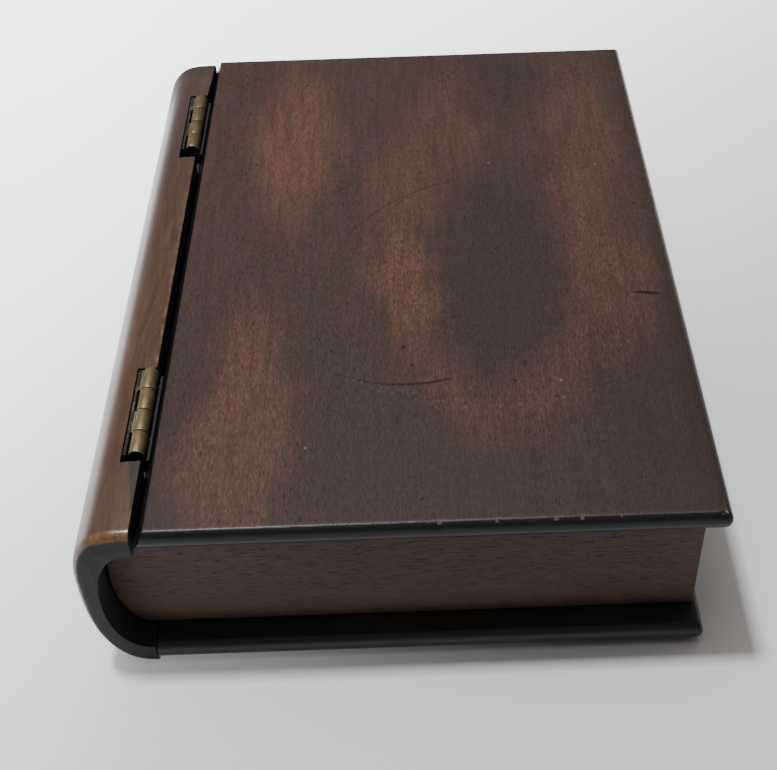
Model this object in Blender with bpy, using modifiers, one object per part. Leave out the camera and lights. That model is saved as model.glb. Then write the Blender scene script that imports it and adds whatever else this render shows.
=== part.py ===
"""A wooden money box shaped like a closed book: a hinged lid board and a base board as the
covers, a rounded spine, plain walls for the pages and two small brass butt hinges.

Metres, +Z up. X runs from the spine to the fore-edge and Y from the tail to the head.
The origin is the centre of the footprint, on the table.
"""

import math

import bmesh
import bpy

MM = 0.001

# Overall sizes
LENGTH = 210 * MM  # tail to head
WIDTH = 153.6 * MM  # back of the spine to the lid's fore-edge
HEIGHT = 49.2 * MM  # table to the lid's top face
FIT_GAP = 0.3 * MM  # left between pieces that touch

# Covers: lid board and base board
BOARD = 7 * MM
NOSE_RADIUS = 3.4 * MM  # rounded edge on three sides
NOSE_INSET = 1.4 * MM  # the top arris stands back this far from the nose
BASE_SETBACK = 2 * MM  # the base stops short of the lid at the fore-edge

# Spine
SPINE_DEPTH = 18.9 * MM  # back of the spine to the lid's top arris
SPINE_WALL = 5.7 * MM
SPINE_ARM = 1 * MM  # flat end of the spine's upper arm
SPINE_BELLY = 27.9 * MM  # height at which the spine bulges most
SPINE_UPPER_POWER = 2.8  # fullness of the outside above and below that height
SPINE_LOWER_POWER = 2.3
SPINE_INNER_POWER = 2.2
SPINE_SOFTENING = 1.2 * MM
SPINE_SETBACK = 1.6 * MM  # the spine stops short of the covers at the head
GROOVE = 3.2 * MM  # open width of the groove between lid and spine
GROOVE_LIP = 0.9 * MM  # left of the lid's edge under the groove

# Walls, set back from the covers
END_RECESS = 7.6 * MM
FORE_RECESS = 3.9 * MM
WALL = 7 * MM
SLOT_LENGTH = 38 * MM  # coin slot in the head end wall
SLOT_HEIGHT = 5 * MM

# Hinges
HINGE_LENGTH = 29.7 * MM
TAIL_HINGE_INSET = 26.3 * MM  # from the tail to the nearer hinge
HEAD_HINGE_INSET = 22.9 * MM  # from the head to the other
KNUCKLES = 4
KNUCKLE_RADIUS = 2 * MM
KNUCKLE_PROUD = 0.7 * MM  # top of the knuckles over the lid's top
PIN_RADIUS = 0.8 * MM
PIN_GAP = 0.25 * MM
AXIS_FROM_SEAM = 4.8 * MM
LEAF = 0.7 * MM
CASE_LEAF_GAP = 0.4 * MM  # knuckle to the near face of each leaf
LID_LEAF_GAP = 0.2 * MM
CASE_LEAF_RISE = 0.9 * MM  # top of each leaf over the axis
LID_LEAF_RISE = -1.4 * MM
WEB = 0.8 * MM  # height of the roll that joins a knuckle to its leaf
WEB_DROP = 0.05 * MM  # top of that roll under the leaf's top
MORTISE_LIP = 0.7 * MM  # wood left under a mortise
MORTISE_HEAD_ROOM = 0.5 * MM  # extra length of a mortise towards the head
TAIL_MORTISE_ROOM = 2.7 * MM  # and towards the tail, at each hinge
HEAD_MORTISE_ROOM = 5.2 * MM

# Hinge screws
SCREWS_PER_LEAF = 2
SCREW_SPACING = 18 * MM
SCREW_LENGTH = 6 * MM
SCREW_HEAD_RADIUS = 1 * MM
SCREW_SHANK_RADIUS = 0.55 * MM
SCREW_GAP = 0.25 * MM
SCREW_MARGIN = 0.45 * MM  # from the foot of a leaf to a screw's head

# Places that follow from those sizes
SPINE_BACK = -WIDTH / 2
FORE_EDGE = WIDTH / 2
TAIL = -LENGTH / 2
SEAM = SPINE_BACK + SPINE_DEPTH  # the lid's top arris along the groove
SPINE_FACE = SEAM - GROOVE
ARC_CENTRE = SPINE_FACE - SPINE_ARM
LID_UNDERSIDE = HEIGHT - BOARD
WALL_FOOT = BOARD + FIT_GAP
WALL_TOP = LID_UNDERSIDE - FIT_GAP
BASE_SEAM = ARC_CENTRE + 2 * FIT_GAP  # the base board's edge against the spine
WALL_FORE = FORE_EDGE - FORE_RECESS
AXIS_X = SEAM - AXIS_FROM_SEAM
AXIS_Z = HEIGHT + KNUCKLE_PROUD - KNUCKLE_RADIUS
HINGE_STARTS = {
    "tail_hinge": TAIL + TAIL_HINGE_INSET,
    "head_hinge": -TAIL - HEAD_HINGE_INSET - HINGE_LENGTH,
}
MORTISE_ROOM = {"tail_hinge": TAIL_MORTISE_ROOM, "head_hinge": HEAD_MORTISE_ROOM}
CASE_LEAF_OFFSET = KNUCKLE_RADIUS + CASE_LEAF_GAP
LID_LEAF_OFFSET = KNUCKLE_RADIUS + LID_LEAF_GAP
CASE_LEAF_BACK = AXIS_X - CASE_LEAF_OFFSET - LEAF
LID_LEAF_BACK = AXIS_X + LID_LEAF_OFFSET + LEAF
MORTISE_FLOOR = LID_UNDERSIDE + MORTISE_LIP
LEAF_FOOT = MORTISE_FLOOR + FIT_GAP
SCREW_Z = LEAF_FOOT + SCREW_MARGIN + SCREW_HEAD_RADIUS
ARC_STEPS = 12
ROUND_SIDES = 24


def new_collection(name):
    collection = bpy.data.collections.new(name)
    bpy.context.scene.collection.children.link(collection)
    return collection


def new_material(name, color, roughness, metallic):
    material = bpy.data.materials.new(name)
    material.use_nodes = True
    shader = material.node_tree.nodes["Principled BSDF"]
    shader.inputs["Base Color"].default_value = (*color, 1)
    shader.inputs["Roughness"].default_value = roughness
    shader.inputs["Metallic"].default_value = metallic
    return material


def keep(obj, material):
    """Puts a finished piece in the box's own collection, with its material."""
    pieces.objects.link(obj)
    obj.data.materials.append(material)
    return obj


def helper(obj):
    """Puts a shape that only cuts or joins another in the cutters' collection."""
    cutters.objects.link(obj)
    obj.hide_render = True
    obj.display_type = "WIRE"
    return obj


def boolean(obj, operation, other):
    modifier = obj.modifiers.new(other.name, "BOOLEAN")
    modifier.operation = operation
    modifier.object = helper(other)


def box(name, low, high):
    work = bmesh.new()
    bmesh.ops.create_cube(work, size=1)
    mesh = bpy.data.meshes.new(name)
    for vertex in work.verts:
        for axis in range(3):
            vertex.co[axis] *= high[axis] - low[axis]
    work.to_mesh(mesh)
    work.free()
    obj = bpy.data.objects.new(name, mesh)
    obj.location = [(a + b) / 2 for a, b in zip(low, high)]
    return obj


def rod(name, radius, length, centre, rotation):
    """A round bar along its own Z, smooth round its side."""
    work = bmesh.new()
    bmesh.ops.create_cone(
        work, cap_ends=True, segments=ROUND_SIDES, radius1=radius, radius2=radius, depth=length
    )
    mesh = bpy.data.meshes.new(name)
    work.to_mesh(mesh)
    work.free()
    smooth(mesh)
    obj = bpy.data.objects.new(name, mesh)
    obj.location = centre
    obj.rotation_euler = rotation
    return obj


def smooth(mesh):
    mesh.shade_smooth()
    mesh.set_sharp_from_angle(angle=math.radians(30))


def prism(name, outline, rotation, centre, thickness):
    """A flat outline given half its thickness both ways, as a closed mesh."""
    curve = bpy.data.curves.new(name, "CURVE")
    curve.dimensions = "2D"
    curve.fill_mode = "BOTH"
    curve.extrude = thickness / 2
    spline = curve.splines.new("POLY")
    spline.points.add(len(outline) - 1)
    for point, (across, up) in zip(spline.points, outline):
        point.co = (across, up, 0, 1)
    spline.use_cyclic_u = True
    guide = bpy.data.objects.new(name + "_outline", curve)
    guide.location = centre
    guide.rotation_euler = rotation
    cutters.objects.link(guide)
    graph = bpy.context.evaluated_depsgraph_get()
    mesh = bpy.data.meshes.new_from_object(guide.evaluated_get(graph))
    mesh.name = name
    work = bmesh.new()
    work.from_mesh(mesh)
    bmesh.ops.remove_doubles(work, verts=work.verts, dist=0.001 * MM)
    bmesh.ops.dissolve_limit(work, angle_limit=0.001, verts=work.verts, edges=work.edges)
    work.to_mesh(mesh)
    work.free()
    smooth(mesh)
    obj = bpy.data.objects.new(name, mesh)
    obj.matrix_world = guide.matrix_world.copy()
    bpy.data.objects.remove(guide)
    return obj


def prism_along_y(name, outline, start, end):
    """An (x, z) outline carried along Y."""
    turn = (math.pi / 2, 0, 0)
    return prism(name, outline, turn, (0, (start + end) / 2, 0), end - start)


def prism_along_x(name, outline, start, end):
    """A (y, z) outline carried along X."""
    turn = (math.pi / 2, 0, math.pi / 2)
    return prism(name, outline, turn, ((start + end) / 2, 0, 0), end - start)


def round_side(depth, middle, top, bottom, upper_power, lower_power):
    """The spine's rounded side from top to bottom, as two quarters of superellipses."""
    points = []
    for step in range(-ARC_STEPS, ARC_STEPS + 1):
        turn = math.pi / 2 * abs(step) / ARC_STEPS
        power = upper_power if step < 0 else lower_power
        reach = top - middle if step < 0 else bottom - middle
        across = depth * max(math.cos(turn), 0) ** (2 / power)
        points.append((ARC_CENTRE - across, middle + reach * math.sin(turn) ** (2 / power)))
    return points


def inner_side(gap):
    """The inside of the spine, or the end of a wall that stands this gap inside it."""
    return round_side(
        ARC_CENTRE - SPINE_BACK - SPINE_WALL - gap,
        HEIGHT / 2,
        LID_UNDERSIDE - gap,
        BOARD + gap,
        SPINE_INNER_POWER,
        SPINE_INNER_POWER,
    )


def nose(edge, top, outwards):
    """The rounded edge of a cover from its top arris to its underside."""
    centre = edge - outwards * NOSE_RADIUS
    first = math.acos((NOSE_RADIUS - NOSE_INSET) / NOSE_RADIUS)
    drop = NOSE_RADIUS * math.sin(first)
    last = -math.asin(min((BOARD - drop) / NOSE_RADIUS, 1))
    points = []
    for step in range(ARC_STEPS // 2 + 1):
        turn = first + (last - first) * step / (ARC_STEPS // 2)
        across = centre + outwards * NOSE_RADIUS * math.cos(turn)
        points.append((across, top - drop + NOSE_RADIUS * math.sin(turn)))
    points[0] = (points[0][0], top)
    points[-1] = (points[-1][0], top - BOARD)
    return points


def cover(name, spine_side, fore_edge, top):
    """A cover board: its spine side as given, and a nose along the other three sides."""
    board = prism_along_y(name, spine_side + nose(fore_edge, top, 1)[::-1], TAIL, -TAIL)
    spare = BOARD / 2
    tail_nose = nose(TAIL, top, -1)
    head_nose = nose(-TAIL, top, 1)[::-1]
    over = [(head_nose[-1][0], top + spare), (tail_nose[0][0], top + spare)]
    under = [(tail_nose[-1][0], top - BOARD - spare), (head_nose[0][0], top - BOARD - spare)]
    ends = over + tail_nose + under + head_nose
    boolean(board, "INTERSECT", prism_along_x(name + "_ends", ends, 2 * SPINE_BACK, 2 * FORE_EDGE))
    return board


def wall(name, low, high):
    return keep(box(name, low, high), page_wood)


def end_wall(name, start):
    """A wall across the box, its end shaped to the inside of the spine."""
    outline = inner_side(FIT_GAP) + [(WALL_FORE, WALL_FOOT), (WALL_FORE, WALL_TOP)]
    return keep(prism_along_y(name, outline, start, start + WALL), page_wood)


def screw_profile(name, grow, length):
    """A countersunk screw turned about its own Z, its head's face at the origin."""
    head = SCREW_HEAD_RADIUS + grow
    shank = SCREW_SHANK_RADIUS + grow
    points = [(0, 0), (head, 0), (shank, -LEAF), (shank, LEAF - length), (0, -length)]
    mesh = bpy.data.meshes.new(name)
    edges = [(i, i + 1) for i in range(len(points) - 1)]
    mesh.from_pydata([(x, 0, z) for x, z in points], edges, [])
    obj = bpy.data.objects.new(name, mesh)
    turned = obj.modifiers.new("turned", "SCREW")
    turned.steps = ROUND_SIDES // 2
    turned.render_steps = ROUND_SIDES // 2
    turned.use_merge_vertices = True
    turned.merge_threshold = 0.001 * MM
    return obj


def screw_hole(obj, screw):
    """Cuts room for a screw, with a gap all round and past its point."""
    hole = screw_profile(f"{screw.name}_hole_in_{obj.name}", SCREW_GAP, SCREW_LENGTH + FIT_GAP)
    hole.data.vertices[0].co.z = SCREW_GAP
    hole.data.vertices[1].co.z = SCREW_GAP
    hole.location = screw.location
    hole.rotation_euler = screw.rotation_euler
    boolean(obj, "DIFFERENCE", hole)


def add_screws(hinge, leaf, wood, place, side, offset):
    """Screws that go sideways through a leaf: side 1 is the lid's leaf, -1 the case's."""
    screws = []
    middle = HINGE_STARTS[hinge] + HINGE_LENGTH / 2
    for number in range(SCREWS_PER_LEAF):
        screw = screw_profile(f"{hinge}_{place}_screw_{number + 1}", 0, SCREW_LENGTH)
        along = (number - (SCREWS_PER_LEAF - 1) / 2) * SCREW_SPACING
        screw.location = (AXIS_X + side * offset, middle + along, SCREW_Z)
        screw.rotation_euler = (0, -side * math.pi / 2, 0)
        keep(screw, screw_steel)
        screw_hole(leaf, screw)
        screw_hole(wood, screw)
        screws.append(screw)
    return screws


def knuckle_span(hinge, number):
    """Where a knuckle starts and ends along Y, counted from the tail."""
    pitch = (HINGE_LENGTH + FIT_GAP) / KNUCKLES
    start = HINGE_STARTS[hinge] + number * pitch
    return start, start + pitch - FIT_GAP


def add_leaf(hinge, place, side, offset, rise, knuckles):
    """One leaf of a hinge with its own knuckles and the bore for the pin."""
    name = f"{hinge}_{place}_leaf"
    start = HINGE_STARTS[hinge]
    across = sorted((AXIS_X + side * offset, AXIS_X + side * (offset + LEAF)))
    low = (across[0], start, LEAF_FOOT)
    leaf = keep(box(name, low, (across[1], start + HINGE_LENGTH, AXIS_Z + rise)), brass)
    for number in knuckles:
        first, last = knuckle_span(hinge, number)
        web = sorted((AXIS_X + side * KNUCKLE_RADIUS / 2, AXIS_X + side * (offset + LEAF / 2)))
        low = (web[0], first, AXIS_Z + rise - WEB)
        high = (web[1], last, AXIS_Z + rise - WEB_DROP)
        boolean(leaf, "UNION", box(f"{name}_web_{number}", low, high))
        centre = (AXIS_X, (first + last) / 2, AXIS_Z)
        turn = (math.pi / 2, 0, 0)
        barrel = rod(f"{name}_barrel_{number}", KNUCKLE_RADIUS, last - first, centre, turn)
        boolean(leaf, "UNION", barrel)
    centre = (AXIS_X, start + HINGE_LENGTH / 2, AXIS_Z)
    turn = (math.pi / 2, 0, 0)
    bore = rod(name + "_bore", PIN_RADIUS + PIN_GAP, 2 * HINGE_LENGTH, centre, turn)
    boolean(leaf, "DIFFERENCE", bore)
    return leaf


def add_hinge(hinge):
    """One butt hinge let into the spine and the lid. Returns what turns with the lid."""
    start = HINGE_STARTS[hinge]
    end = start + HINGE_LENGTH
    low = (CASE_LEAF_BACK - FIT_GAP, start - MORTISE_ROOM[hinge], MORTISE_FLOOR)
    high = (SEAM, end + MORTISE_HEAD_ROOM, HEIGHT + BOARD)
    boolean(spine, "DIFFERENCE", box(hinge + "_spine_mortise", low, high))
    low = (SPINE_FACE - BOARD, start - MORTISE_HEAD_ROOM, 0)
    high = (LID_LEAF_BACK + FIT_GAP, end + MORTISE_HEAD_ROOM, HEIGHT + BOARD)
    boolean(lid_board, "DIFFERENCE", box(hinge + "_lid_mortise", low, high))
    lid_knuckles = range(0, KNUCKLES, 2)
    case_knuckles = range(1, KNUCKLES, 2)
    case_leaf = add_leaf(hinge, "case", -1, CASE_LEAF_OFFSET, CASE_LEAF_RISE, case_knuckles)
    lid_leaf = add_leaf(hinge, "lid", 1, LID_LEAF_OFFSET, LID_LEAF_RISE, lid_knuckles)
    centre = (AXIS_X, (start + end) / 2, AXIS_Z)
    length = HINGE_LENGTH - 2 * FIT_GAP
    keep(rod(hinge + "_pin", PIN_RADIUS, length, centre, (math.pi / 2, 0, 0)), brass)
    add_screws(hinge, case_leaf, spine, "case", -1, CASE_LEAF_OFFSET)
    return [lid_leaf] + add_screws(hinge, lid_leaf, lid_board, "lid", 1, LID_LEAF_OFFSET)


def add_spine():
    """The rounded back: a C-shaped moulding, open towards the box."""
    outside = round_side(
        ARC_CENTRE - SPINE_BACK, SPINE_BELLY, HEIGHT, 0, SPINE_UPPER_POWER, SPINE_LOWER_POWER
    )
    foot = BASE_SEAM - FIT_GAP
    inside = inner_side(0)[::-1]
    outline = [(SPINE_FACE, HEIGHT)] + outside + [(foot, 0), (foot, BOARD)]
    outline += inside + [(SPINE_FACE, LID_UNDERSIDE)]
    obj = keep(prism_along_y("spine", outline, TAIL, -TAIL - SPINE_SETBACK), spine_wood)
    softened = obj.modifiers.new("softened", "BEVEL")
    softened.width = SPINE_SOFTENING
    softened.segments = 2
    softened.limit_method = "ANGLE"
    softened.angle_limit = math.radians(40)
    return obj


def add_covers():
    foot = SPINE_FACE + FIT_GAP
    lid_side = [(SEAM, HEIGHT), (foot, LID_UNDERSIDE + GROOVE_LIP), (foot, LID_UNDERSIDE)]
    lid = keep(cover("lid_board", lid_side, FORE_EDGE, HEIGHT), cover_wood)
    base_side = [(BASE_SEAM, BOARD), (BASE_SEAM, 0)]
    keep(cover("base_board", base_side, FORE_EDGE - BASE_SETBACK, BOARD), cover_wood)
    return lid


def add_walls():
    tail_face = TAIL + END_RECESS
    head_face = -tail_face
    end_wall("tail_end_wall", tail_face)
    head_wall = end_wall("head_end_wall", head_face - WALL)
    middle = (SEAM + WALL_FORE) / 2
    slot_foot = (WALL_FOOT + WALL_TOP - SLOT_HEIGHT) / 2
    low = (middle - SLOT_LENGTH / 2, head_face - 2 * WALL, slot_foot)
    high = (middle + SLOT_LENGTH / 2, head_face + WALL, slot_foot + SLOT_HEIGHT)
    boolean(head_wall, "DIFFERENCE", box("coin_slot", low, high))
    start = tail_face + WALL + FIT_GAP
    wall("fore_edge_wall", (WALL_FORE - WALL, start, WALL_FOOT), (WALL_FORE, -start, WALL_TOP))
    side = ARC_CENTRE - FIT_GAP
    wall("spine_side_wall", (side, start, WALL_FOOT), (side + WALL, -start, WALL_TOP))


for old in list(bpy.data.objects):
    bpy.data.objects.remove(old)
pieces = new_collection("money_box")
cutters = new_collection("cutters")

cover_wood = new_material("cover_wood", (0.09, 0.045, 0.032), 0.35, 0)
spine_wood = new_material("spine_wood", (0.12, 0.065, 0.04), 0.4, 0)
page_wood = new_material("page_wood", (0.075, 0.055, 0.042), 0.55, 0)
brass = new_material("brass", (0.42, 0.34, 0.16), 0.4, 1)
screw_steel = new_material("screw_steel", (0.35, 0.3, 0.2), 0.4, 1)

spine = add_spine()
lid_board = add_covers()
add_walls()

lid_axis = bpy.data.objects.new("lid_axis", None)
lid_axis.location = (AXIS_X, 0, AXIS_Z)
pieces.objects.link(lid_axis)
turning = [lid_board]
for hinge_name in HINGE_STARTS:
    turning += add_hinge(hinge_name)
bpy.context.view_layer.update()
for piece in turning:
    piece.parent = lid_axis
    piece.matrix_parent_inverse = lid_axis.matrix_world.inverted()
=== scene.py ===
"""Looks of the wooden money box shaped like a closed book.

Metres, +Z up. X runs from the spine to the fore-edge, Y from the tail to the head.
"""

import math

import bmesh
import bpy
from mathutils import Matrix, Vector


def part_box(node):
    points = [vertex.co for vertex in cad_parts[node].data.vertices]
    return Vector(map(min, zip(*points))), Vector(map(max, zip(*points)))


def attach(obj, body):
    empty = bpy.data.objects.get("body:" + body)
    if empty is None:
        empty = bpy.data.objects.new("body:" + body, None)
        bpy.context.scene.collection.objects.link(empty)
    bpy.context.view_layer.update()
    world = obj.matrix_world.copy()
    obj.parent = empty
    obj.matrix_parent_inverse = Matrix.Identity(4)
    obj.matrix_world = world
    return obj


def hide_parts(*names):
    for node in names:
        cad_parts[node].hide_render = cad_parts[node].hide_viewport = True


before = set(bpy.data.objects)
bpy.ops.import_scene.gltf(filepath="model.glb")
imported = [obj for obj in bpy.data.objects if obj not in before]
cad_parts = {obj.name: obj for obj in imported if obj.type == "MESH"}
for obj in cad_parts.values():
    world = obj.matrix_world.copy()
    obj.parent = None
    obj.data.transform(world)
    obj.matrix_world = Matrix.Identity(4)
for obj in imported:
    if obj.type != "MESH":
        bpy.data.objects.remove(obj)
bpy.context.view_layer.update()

MM = 0.001

# Joinery sizes
GROOVE = 3.2 * MM  # open width between the spine and the lid's top arris
GROOVE_LIP = 0.9 * MM
FIT_GAP = 0.3 * MM
NOSE_RADIUS = 3.4 * MM
NOSE_INSET = 1.4 * MM
ARRIS = 0.3 * MM
CORNER = 1.3 * MM  # the covers' corners seen from above
SPINE_BELLY = 27.9 * MM
SPINE_WALL = 5.0 * MM
SPINE_ARM = 1 * MM
SPINE_ROUND = 2.6 * MM  # roundover at each end of the spine
SPINE_SPREAD = 1.3 * MM  # wider top at the head; reaches 0.9 mm into the lid's sloped side there
TAIL_MORTISE_ROOM = 2.7 * MM
HEAD_MORTISE_ROOM = 5.2 * MM
MORTISE_END_ROOM = 0.5 * MM
CUTTER_RISE = 8 * MM  # how far a mortise cutter stands above the lid
WALL_ARRIS = 0.35 * MM
SPINE_ARRIS = 0.45 * MM

# Hinge sizes
BORE = 1.05 * MM
LEAF_THICKNESS = 0.7 * MM
PIN = 0.95 * MM
SCREW_HEAD = 1 * MM
SCREW_SHANK = 0.55 * MM
SCREW_LENGTH = 6 * MM

# Places read from the frame
lid_low, lid_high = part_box("lid_board")
base_low, base_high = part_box("base_board")
spine_low, spine_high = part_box("spine")
SEAM = spine_high.x + GROOVE
TAIL, HEAD = lid_low.y, lid_high.y
TOP, UNDERSIDE = lid_high.z, lid_low.z
ARC_CENTRE = spine_high.x - SPINE_ARM
pin_low, pin_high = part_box("tail_hinge_pin")
AXIS = (pin_low + pin_high) / 2


class Term:
    """One socket of a node tree, so that maths between sockets is written as plain sums."""

    def __init__(self, bench, socket):
        self.bench = bench
        self.socket = socket

    def maths(self, operation, *terms):
        return self.bench.add("ShaderNodeMath", {"operation": operation}, dict(enumerate(terms)))

    def __add__(self, other):
        return self.maths("ADD", self, other)

    def __radd__(self, other):
        return self.maths("ADD", other, self)

    def __sub__(self, other):
        return self.maths("SUBTRACT", self, other)

    def __rsub__(self, other):
        return self.maths("SUBTRACT", other, self)

    def __mul__(self, other):
        return self.maths("MULTIPLY", self, other)

    def __rmul__(self, other):
        return self.maths("MULTIPLY", other, self)

    def __truediv__(self, other):
        return self.maths("DIVIDE", self, other)

    def __rtruediv__(self, other):
        return self.maths("DIVIDE", other, self)

    def __pow__(self, other):
        return self.maths("POWER", self, other)

    def __neg__(self):
        return self.maths("MULTIPLY", self, -1.0)

    def __abs__(self):
        return self.maths("ABSOLUTE", self)

    def __lt__(self, other):
        return self.maths("LESS_THAN", self, other)

    def __gt__(self, other):
        return self.maths("GREATER_THAN", self, other)

    def least(self, other):
        return self.maths("MINIMUM", self, other)

    def most(self, other):
        return self.maths("MAXIMUM", self, other)


class Bench:
    """A node tree under construction."""

    def __init__(self, tree):
        self.tree = tree

    def add(self, kind, settings=None, sockets=None, give=0):
        """Any node: its settings, then the values or links of its sockets. Returns one output."""
        node = self.tree.nodes.new(kind)
        for name, value in (settings or {}).items():
            setattr(node, name, value)
        for key, value in (sockets or {}).items():
            for one in value if isinstance(value, list) else [value]:
                if isinstance(one, Term):
                    self.tree.links.new(one.socket, node.inputs[key])
                else:
                    node.inputs[key].default_value = one
        return Term(self, node.outputs[give])


# Finishes


class Finish(Bench):
    """A material: patterns over the surface that end in one Principled shader."""

    def __init__(self, name, **fixed):
        self.material = bpy.data.materials.new(name)
        self.material.use_nodes = True
        super().__init__(self.material.node_tree)
        self.surface = self.tree.nodes["Principled BSDF"]
        for socket, value in fixed.items():
            self.surface.inputs[socket.replace("_", " ")].default_value = value
        self.place = self.add("ShaderNodeTexCoord", give="Object")

    def axes(self, origin):
        """X, Y and Z in millimetres from an origin."""
        moved = self.add("ShaderNodeVectorMath", {"operation": "SUBTRACT"}, {0: self.place, 1: origin})
        self.local = self.add("ShaderNodeVectorMath", {"operation": "SCALE"}, {0: moved, "Scale": 1000.0})
        return [self.add("ShaderNodeSeparateXYZ", {}, {0: self.local}, give=i) for i in range(3)]

    def point(self, x, y, z):
        return self.add("ShaderNodeCombineXYZ", {}, {0: x, 1: y, 2: z})

    def stretched(self, scale, shift=(0, 0, 0)):
        scaled = self.add("ShaderNodeVectorMath", {"operation": "MULTIPLY"}, {0: self.local, 1: scale})
        return self.add("ShaderNodeVectorMath", {"operation": "ADD"}, {0: scaled, 1: shift})

    def noise(self, scale, shift=(0, 0, 0), detail=3.0, roughness=0.5, warp=0.0, at=None):
        return self.add(
            "ShaderNodeTexNoise",
            {},
            {
                "Vector": at or self.stretched(scale, shift),
                "Scale": 1.0,
                "Detail": detail,
                "Roughness": roughness,
                "Distortion": warp,
            },
        )

    def ease(self, value, low, high, start=0.0, end=1.0):
        """A smooth step from start at low to end at high."""
        return self.add(
            "ShaderNodeMapRange",
            {"interpolation_type": "SMOOTHSTEP"},
            {0: value, 1: low, 2: high, 3: start, 4: end},
        )

    def mix(self, share, first, second, blend="MIX"):
        first, second = [(*c, 1.0) if isinstance(c, tuple) and len(c) == 3 else c for c in (first, second)]
        return self.add(
            "ShaderNodeMix",
            {"data_type": "RGBA", "blend_type": blend},
            {0: share, 6: first, 7: second},
            give=2,
        )

    def spot(self, x, y, centre, size, turn=0.0):
        """1 at the centre of a soft oval patch, 0 at its edge."""
        c, s = math.cos(math.radians(turn)), math.sin(math.radians(turn))
        across = ((x - centre[0]) * c + (y - centre[1]) * s) / size[0]
        along = ((y - centre[1]) * c - (x - centre[0]) * s) / size[1]
        return self.ease(across * across + along * along, 1.0, 0.0)

    def done(self, bump_height=None, bump=1.0, distance=0.1 * MM, **varied):
        for socket, value in varied.items():
            self.tree.links.new(value.socket, self.surface.inputs[socket.replace("_", " ")])
        if bump_height:
            raised = self.add(
                "ShaderNodeBump", {}, {"Strength": bump, "Distance": distance, "Height": bump_height}
            )
            self.tree.links.new(raised.socket, self.surface.inputs["Normal"])
        return self.material


def stained_grain(finish, across, along, upright, seed):
    """Fine grain that runs along the second axis: streaks, and short dark pores."""
    streak = finish.noise((across * 0.5, along * 0.05, upright * 0.5), (seed, 3, 1), 6, 0.72, 0.7)
    fine = finish.noise((across * 2.6, along * 0.46, upright * 2.6), (seed + 7, 1, 2), 4, 0.72, 0.5)
    pore = finish.noise((across * 2.4, along * 0.42, upright * 2.4), (seed + 2, 5, 4), 2, 0.5)
    return finish.ease(streak, 0.28, 0.72), fine, finish.ease(pore, 0.6, 0.7)


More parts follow.
